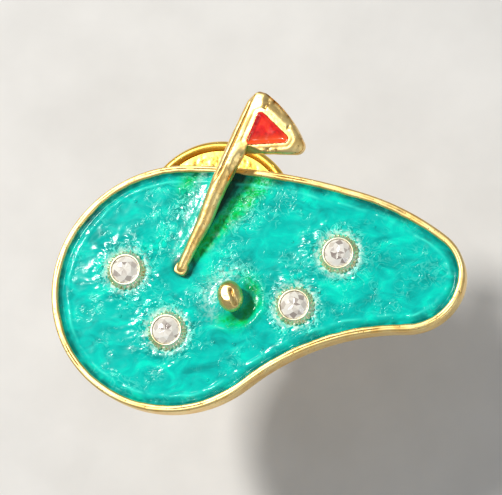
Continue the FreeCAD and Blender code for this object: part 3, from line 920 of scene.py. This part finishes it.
def hull_outline(points):
    """The corners of the convex outline round flat points, anticlockwise."""
    ordered = sorted(set(map(tuple, np.round(points, 4))))
    sides = []
    for sweep in (ordered, ordered[::-1]):
        side = []
        for place in sweep:
            while len(side) > 1 and not turns_left(side[-2], side[-1], place):
                side.pop()
            side.append(place)
        sides.append(side[:-1])
    return np.array(sides[0] + sides[1])


def polyline_distance(points, corners):
    """Distance from flat points to the nearest side of a closed polyline."""
    corners = np.asarray(corners, float)
    nearest = np.full(len(points), 1e9)
    for start, end in zip(corners, np.roll(corners, -1, 0)):
        side = end - start
        share = np.clip(((points - start) @ side) / max(side @ side, 1e-12), 0, 1)
        nearest = np.minimum(nearest, np.linalg.norm(points - start - share[:, None] * side, axis=1))
    return nearest


def pennant():
    """The pennant: a broad pitted border that falls away outwards, and a thin lip round the red cell."""
    piece = soft_copy("flag_frame", "pennant", 0.035, 7)
    local = local_places(piece)
    flat, height = local[:, :2].copy(), local[:, 2].copy()
    cell = to_pole(np.array([vertex.co for vertex in frame["nodes"]["flag_enamel"].data.vertices]) / MM)
    away = polyline_distance(flat, hull_outline(cell[:, :2]))
    local[:, 0] += 0.10 * (1 - smoothstep(flat[:, 0], -0.2, 0.5)) * (1 - smoothstep(flat[:, 1], 11.5, 13.0))
    peak, peak_radius = np.array([0.25, 13.30]), 0.47
    from_peak = np.linalg.norm(flat - peak, axis=1)
    corner = (flat[:, 0] < peak[0]) & (flat[:, 1] > peak[1]) & (from_peak > peak_radius)
    local[corner, :2] = peak + (flat[corner] - peak) * (peak_radius / from_peak[corner])[:, None]
    face = smoothstep(height, 0.40, 0.62)
    border = smoothstep(away, 0.25, 1.05) * smoothstep(flat[:, 0], 0.3, 0.9)
    fall = 0.20 * border**1.5 + 0.02 * gauss(away, 0.30, 0.12)
    fall += 0.13 * np.clip(flat[:, 1] - 12.7, 0, None) ** 2
    fall += 0.20 * np.clip(0.6 - flat[:, 0], 0, None) * smoothstep(flat[:, 1], 11.8, 13.2)
    fall += 0.42 * (1 - smoothstep(flat[:, 1], 6.8, 8.2))
    fall += 0.10 * smoothstep(flat[:, 0], 0.2, 0.7) * (1 - smoothstep(flat[:, 1], 8.6, 9.4))
    local[:, 2] -= face * fall
    pitted = np.zeros(len(flat))
    pits = np.random.default_rng(7)
    for _ in range(40):
        place = np.array([pits.uniform(0.9, 4.5), pits.uniform(9.8, 13.6)])
        size = pits.uniform(0.06, 0.14)
        dent = np.exp(-(np.linalg.norm((flat - place) * [1.0, 0.7], axis=1) / size) ** 2)
        local[:, 2] -= face * (away > 0.3) * 0.65 * size * dent
        pitted = np.maximum(pitted, 0.7 * dent * (away > 0.3))
    write_places(piece, from_pole(local) * MM)
    roughen(piece, 0.9, 0.015, 32)
    roughen(piece, 0.30, 0.004, 35)
    # Painted shade along the foot of the edge beside the pole and down in the dents.
    foot_of_edge = (flat[:, 0] < 0.10) * (1 - smoothstep(height, 0.50, 0.66)) * (flat[:, 1] < 13.2)
    mark_crease_shade(piece, also=np.maximum(foot_of_edge, pitted))
    return stand_in(piece, "flag_frame", "marker", GILT)


def flag_enamel():
    """The red fill, sunk in the middle and pulled up at its edge."""
    piece = soft_copy("flag_enamel", "enamel_red", 0.035, 6)
    local = local_places(piece)
    away = polyline_distance(local[:, :2], hull_outline(local[:, :2]))
    top = smoothstep(local[:, 2], 0.5, 0.7)
    local[:, 2] -= top * (0.20 * smoothstep(away, 0.0, 0.35) - 0.018 * lumps(local, 0.7, 33, 2))
    write_places(piece, from_pole(local) * MM)
    # The orange layer lies towards the lower end of the cell.
    low, high = local[:, 1].min(), local[:, 1].max()
    level = (local[:, 1] - low) / (high - low) - 0.22 * (local[:, 0] - local[:, 0].min())
    store_layer(piece.data, "thin", 0.7 * gauss(level, -0.02, 0.16))
    return stand_in(piece, "flag_enamel", "marker", RED)


def golf_ball():
    """The ball: an egg-shaped head with a broad lit side and a dent down the other, on its stem."""
    piece = soft_copy("golf_ball", "ball", 0.040, 4)
    places = read_places(piece) / MM
    x, y = (places[:, :2] - BALL[:2]).T
    upper = smoothstep(places[:, 2], 2.5, 2.9)
    dent = gauss(x + 0.30 * y, 0.24, 0.15) * smoothstep(-y, -0.55, -0.25) * smoothstep(y, -0.95, -0.65)
    towards_light = np.column_stack([x, y]) @ TOWARDS_LIGHT
    facet = places[:, 2].max() - 0.10 - 0.17 * towards_light
    cut = np.where(upper > 0.5, np.minimum(places[:, 2], facet), places[:, 2])
    places[:, 2] = cut - 0.16 * upper * dent
    write_places(piece, places * MM)
    roughen(piece, 0.8, 0.03, 41)
    roughen(piece, 0.25, 0.008, 42)
    # Painted shade in the ball's dent and creases.
    mark_crease_shade(piece)
    return stand_in(piece, "golf_ball", "marker", GILT)


def bezel(stone, seed):
    """A milled cup: a thin bright lip round the stone, and worn teeth that run down into the enamel."""
    low, high = box_mm(f"bezel_{stone}")
    place = STONE_PLACES[stone]
    outer = (high[0] - low[0]) / 2
    top = high[2]
    seat = outer * 0.735
    profile = rounded_path([
        (outer, low[2]),
        (outer, top - 0.42),
        (outer - 0.12, top - 0.18),
        (seat + 0.15, top - 0.07),
        (seat + 0.09, top + 0.03),
        (seat, top + 0.03),
        (seat - 0.03, top - 0.20),
        (0.05, low[2] + 0.3),
    ], 0.07, steps=5)
    rings = lathe_rings(profile, BEZEL_SECTORS)
    angles = np.linspace(0, math.tau, BEZEL_SECTORS, endpoint=False)
    for ring, (radius, height) in zip(rings, profile):
        share = smoothstep(radius, seat + 0.12, outer - 0.05) * smoothstep(height, top - 0.75, top - 0.35)
        notch = np.abs(np.sin(BEZEL_TEETH / 2 * angles + seed + 0.9 * np.sin(3 * angles + seed)))
        wear = lumps(ring + np.array([seed * 7.0, 0, 0]), 0.26, seed)
        ring[:, :2] *= (1 + share * (0.08 * notch - 0.05 + 0.06 * wear))[:, None]
        ring[:, 2] += share * (0.14 * notch - 0.08 + 0.08 * wear)
    rings += np.array([place[0], place[1], 0])
    piece = make_piece(f"cup_{stone}", *skin(rings), sharp_degrees=60)
    return stand_in(piece, f"bezel_{stone}", "marker", MILLED)


def brilliant(stone, seed):
    """A cut stone: a low crown of kites and halves, a table split by the facets seen through it, a back."""
    low, high = box_mm(f"crystal_{stone}")
    place = STONE_PLACES[stone]
    girdle = low[2] + GIRDLE_SHARE * (high[2] - low[2])
    eight = np.arange(8) * math.tau / 8 + seed
    sixteen = np.arange(16) * math.tau / 16 + seed

    def circle(angles, size, height):
        return np.column_stack([size * np.cos(angles), size * np.sin(angles), np.full(len(angles), height)])

    crown = high[2] - girdle
    layers = [
        np.array([[0, 0, high[2] - 0.01]]),
        circle(eight + math.pi / 8, STONE_RADIUS * 0.26, high[2]),
        circle(eight, STONE_RADIUS * 0.54, high[2] - 0.03),
        circle(eight + math.pi / 8, STONE_RADIUS * 0.76, girdle + 0.60 * crown),
        circle(sixteen, STONE_RADIUS, girdle + 0.04),
        circle(sixteen, STONE_RADIUS, girdle - 0.04),
        circle(eight + math.pi / 8, STONE_RADIUS * 0.42, low[2] + 0.36 * (girdle - low[2])),
        np.array([[0, 0, low[2]]]),
    ]
    starts = np.cumsum([0] + [len(layer) for layer in layers])
    centre, inner, table, star, upper, lower, mains, culet = starts[:-1]
    faces = []
    for index in range(8):
        after, before = (index + 1) % 8, (index - 1) % 8
        rim, middle, rim_after = 2 * index, 2 * index + 1, (2 * index + 2) % 16
        faces += [
            (centre, inner + before, table + index, inner + index),
            (table + index, table + after, inner + index),
            (table + index, star + index, table + after),
            (table + index, star + before, upper + rim, star + index),
            (star + index, upper + rim, upper + middle),
            (star + index, upper + middle, upper + rim_after),
            (lower + rim, mains + index, lower + middle),
            (lower + middle, mains + index, lower + rim_after),
            (lower + rim, mains + before, culet, mains + index),
        ]
    for index in range(16):
        after = (index + 1) % 16
        faces.append((upper + index, upper + after, lower + after, lower + index))
    vertices = np.vstack(layers) + np.array([place[0], place[1], 0])
    piece = make_piece(f"stone_{stone}", vertices, faces)
    piece.data.shade_flat()
    # Painted reflections: a random grey for each facet, darker towards the middle as a painted dark
    # reflection.
    tones = np.random.default_rng(100 + round(seed * 10)).random(len(piece.data.polygons))
    middle = np.array([polygon.center for polygon in piece.data.polygons]) / MM
    away = np.linalg.norm(middle[:, :2] - place, axis=1)
    tones = np.clip(tones**0.7 - 0.30 * gauss(away, 0, 0.4), 0, 1)
    store_layer(piece.data, "facet", tones, "FACE")
    return stand_in(piece, f"crystal_{stone}", "marker", CLEAR)


# ---- Post and clutch ----


def pin_post():
    """The nail post, with its brazed pad, drawn shank, gripping groove and rounded point."""
    low, high = box_mm("pin_post")
    profile = rounded_path([
        (1.55, high[2]),
        (PAD_RADIUS, 0.10),
        (PAD_RADIUS, -0.02),
        (0.95, -0.05),
        (ROOT_RADIUS, -0.28),
        (ROOT_RADIUS, -ROOT_LENGTH),
        (SHANK_RADIUS, -1.40),
        (SHANK_RADIUS, -6.15),
        (GROOVE_RADIUS, -6.40),
        (GROOVE_RADIUS, -6.60),
        (SHANK_RADIUS, -6.85),
        (SHANK_RADIUS, -7.30),
        (0.30, -7.72),
        (0.10, low[2] + 0.02),
        (0.02, low[2]),
    ], 0.16, steps=6)
    piece = make_piece("nail_post", *skin(lathe_rings(profile, 64)))
    return stand_in(piece, "pin_post", "marker", POST)


def clutch_face():
    """The stamped face disc: rolled rim, sunburst recess and a funnel for the post."""
    radius, _, top = box_mm("clutch_face")[1]
    sheet_top, sheet_bottom = top - 0.30, top - 0.65
    roll = CLUTCH_ROLL
    turns = np.linspace(math.radians(205), math.radians(-110), 26)
    roll_profile = [
        (radius - roll + roll * math.cos(turn), top - roll + roll * math.sin(turn)) for turn in turns
    ]
    start = rounded_path([
        (CLUTCH_HOLE, sheet_bottom),
        (CLUTCH_HOLE + 0.01, sheet_top - 0.18),
        (CLUTCH_FUNNEL, sheet_top + 0.02),
        (1.5, sheet_top),
    ], 0.12)
    recess = [(size, sheet_top) for size in np.linspace(1.6, radius - 2 * roll - 0.05, 40)]
    end = [(radius - 2 * roll + 0.1, sheet_bottom), (3.0, sheet_bottom), (CLUTCH_HOLE, sheet_bottom)]
    profile = [*start, *recess, *roll_profile, *end]
    sectors = 288
    rings = lathe_rings(profile, sectors)
    angles = np.linspace(0, math.tau, sectors, endpoint=False)
    for index in range(len(start), len(start) + len(recess)):
        size = profile[index][0]
        share = smoothstep(size, 1.7, 2.3) * (1 - smoothstep(size, 4.5, 4.95))
        ray = 0.5 + 0.5 * np.cos(CLUTCH_RIBS * angles + 2.0 * np.sin(2 * angles))
        rings[index][:, 2] += share * 0.018 * ray**3
        rings[index][:, 2] += share * 0.030 * lumps(rings[index], 0.30, 51)
    piece = make_piece("clutch_disc", *closed_ring_skin(rings))
    # Painted shade in the disc's creases.
    mark_crease_shade(piece, spread=1)
    return stand_in(piece, "clutch_face", "clutch", STAMPED)


def closed_ring_skin(rings):
    """Like skin, for a profile that closes on itself round a hole."""
    stack, count, _ = rings.shape
    return rings.reshape(-1, 3), ring_quads(stack, stack, count)


def clutch_back():
    """The crimped cover behind the disc, with its window for the wings."""
    piece = soft_copy("clutch_back", "clutch_cover", 0.06, 3)
    return stand_in(piece, "clutch_back", "clutch", STAMPED)


def wing(side):
    """One squeeze lever, with its ribs worn soft."""
    piece = soft_copy(f"wing_{side}", f"wing_plate_{side}", 0.05, 4)
    roughen(piece, 1.2, 0.02, 61)
    return stand_in(piece, f"wing_{side}", f"{side}_wing", STAMPED)


def leaf_spring():
    """The bowed leaf, in two halves that each bend between the clutch and a wing."""
    low, high = box_mm("leaf_spring")
    reach, half_width = high[:2]
    rise = high[2] - low[2] - LEAF_THICKNESS
    for side, sign in (("left", -1), ("right", 1)):
        rows = []
        for x in np.concatenate([np.linspace(0.0, 0.84, 12), np.linspace(0.86, reach, 24)]):
            inner = math.sqrt(max(LEAF_HOLE**2 - x**2, 0.0))
            drop = rise * float(smoothstep(x, LEAF_FLAT * 0.8, reach * 1.05))
            top = high[2] - drop
            under = top - LEAF_THICKNESS
            section = [(inner, top), (half_width, top), (half_width, under), (inner, under)]
            rows.append([(sign * x, edge * y, z) for edge in (1, -1) for y, z in section])
        piece = make_piece(f"spring_leaf_{side}", *spring_strips(np.array(rows)))
        piece.data.materials.append(BRONZE)
        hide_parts("leaf_spring")
        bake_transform(piece)


def spring_strips(rows):
    """Two strips, one each side of the hole, from rows of eight corners."""
    count = len(rows)
    faces = []
    for half in (0, 4):
        corner = [half, half + 1, half + 2, half + 3]
        for row in range(count - 1):
            for first, second in zip(corner, corner[1:] + corner[:1]):
                low, high = row * 8, (row + 1) * 8
                faces.append((low + first, low + second, high + second, high + first))
        faces.append(tuple(corner))
        last = (count - 1) * 8
        faces.append(tuple(last + index for index in corner))
    return rows.reshape(-1, 3), faces


# ---- Stage ----

CAMERA_AZIMUTH = math.radians(40)
CAMERA_ELEVATION = math.radians(75)
CAMERA_DISTANCE = 160.0
CAMERA_TARGET = Vector((3.03, -3.08, 1.2))
CAMERA_LENS = 160.6
CLUTCH_TRAVEL = next(joint for joint in frame["joints"] if joint["name"] == "clutch_slide")["range_m"][1]


def aim(thing, place, target, upward=Vector((0, 1, 0))):
    """Put a camera or light at a place, looking at the target, with a given direction upwards."""
    back = (place - target).normalized()
    right = upward.cross(back).normalized()
    up = back.cross(right)
    turn = Matrix((right, up, back)).transposed().to_4x4()
    thing.matrix_world = Matrix.Translation(place * MM) @ turn


def camera():
    """A long lens over the face, a little to its lower right."""
    data = bpy.data.cameras.new("camera")
    data.lens = CAMERA_LENS
    data.clip_start = 0.005
    data.clip_end = 5
    thing = add_object("camera", data)
    back = Vector((
        math.sin(CAMERA_AZIMUTH) * math.cos(CAMERA_ELEVATION),
        -math.cos(CAMERA_AZIMUTH) * math.cos(CAMERA_ELEVATION),
        math.sin(CAMERA_ELEVATION),
    ))
    aim(thing, CAMERA_TARGET + back * CAMERA_DISTANCE, CAMERA_TARGET)
    bpy.context.scene.camera = thing


def softbox(name, direction, distance, size, power, colour):
    """A rectangular light in a direction from the camera's target."""
    data = bpy.data.lights.new(name, "AREA")
    data.shape = "RECTANGLE"
    data.size, data.size_y = size[0] * MM, size[1] * MM
    data.energy = power
    data.color = colour
    place = CAMERA_TARGET + Vector(direction).normalized() * distance
    aim(add_object(name, data), place, CAMERA_TARGET, Vector((0.3, 1, 0.1)))


def studio():
    """A pale floor, low enough for the clutch to come off above it, and soft light from the upper left."""
    floor_data = bpy.data.meshes.new("floor")
    half = 600 * MM
    level = cad_low.z - CLUTCH_TRAVEL - 0.02 * MM
    floor_data.from_pydata(
        [(-half, -half, level), (half, -half, level), (half, half, level), (-half, half, level)],
        [],
        [(0, 1, 2, 3)],
    )
    floor_data.materials.append(floor_paint())
    add_object("floor", floor_data)
    world = bpy.data.worlds.new("studio")
    world.use_nodes = True
    sky = world.node_tree.nodes["Background"].inputs
    sky["Color"].default_value = (0.92, 0.96, 1.0, 1)
    sky["Strength"].default_value = 0.30
    bpy.context.scene.world = world
    bpy.context.scene.view_settings.view_transform = "Standard"
    softbox("key", (-0.74, 0.52, 1.40), 260, (34, 34), 0.62, (1.0, 0.97, 0.92))
    softbox("fill", (0.85, -0.75, 0.85), 300, (110, 70), 0.10, (0.95, 0.98, 1.0))


# ---- Put it together ----

camera()
base_plate()
green_enamel()
flagpole()
pennant()
flag_enamel()
golf_ball()
for turn, stone_name in enumerate(STONES):
    bezel(stone_name, 1 + turn)
    brilliant(stone_name, 0.4 + 0.9 * turn)
pin_post()
clutch_face()
clutch_back()
wing("left")
wing("right")
leaf_spring()
studio()
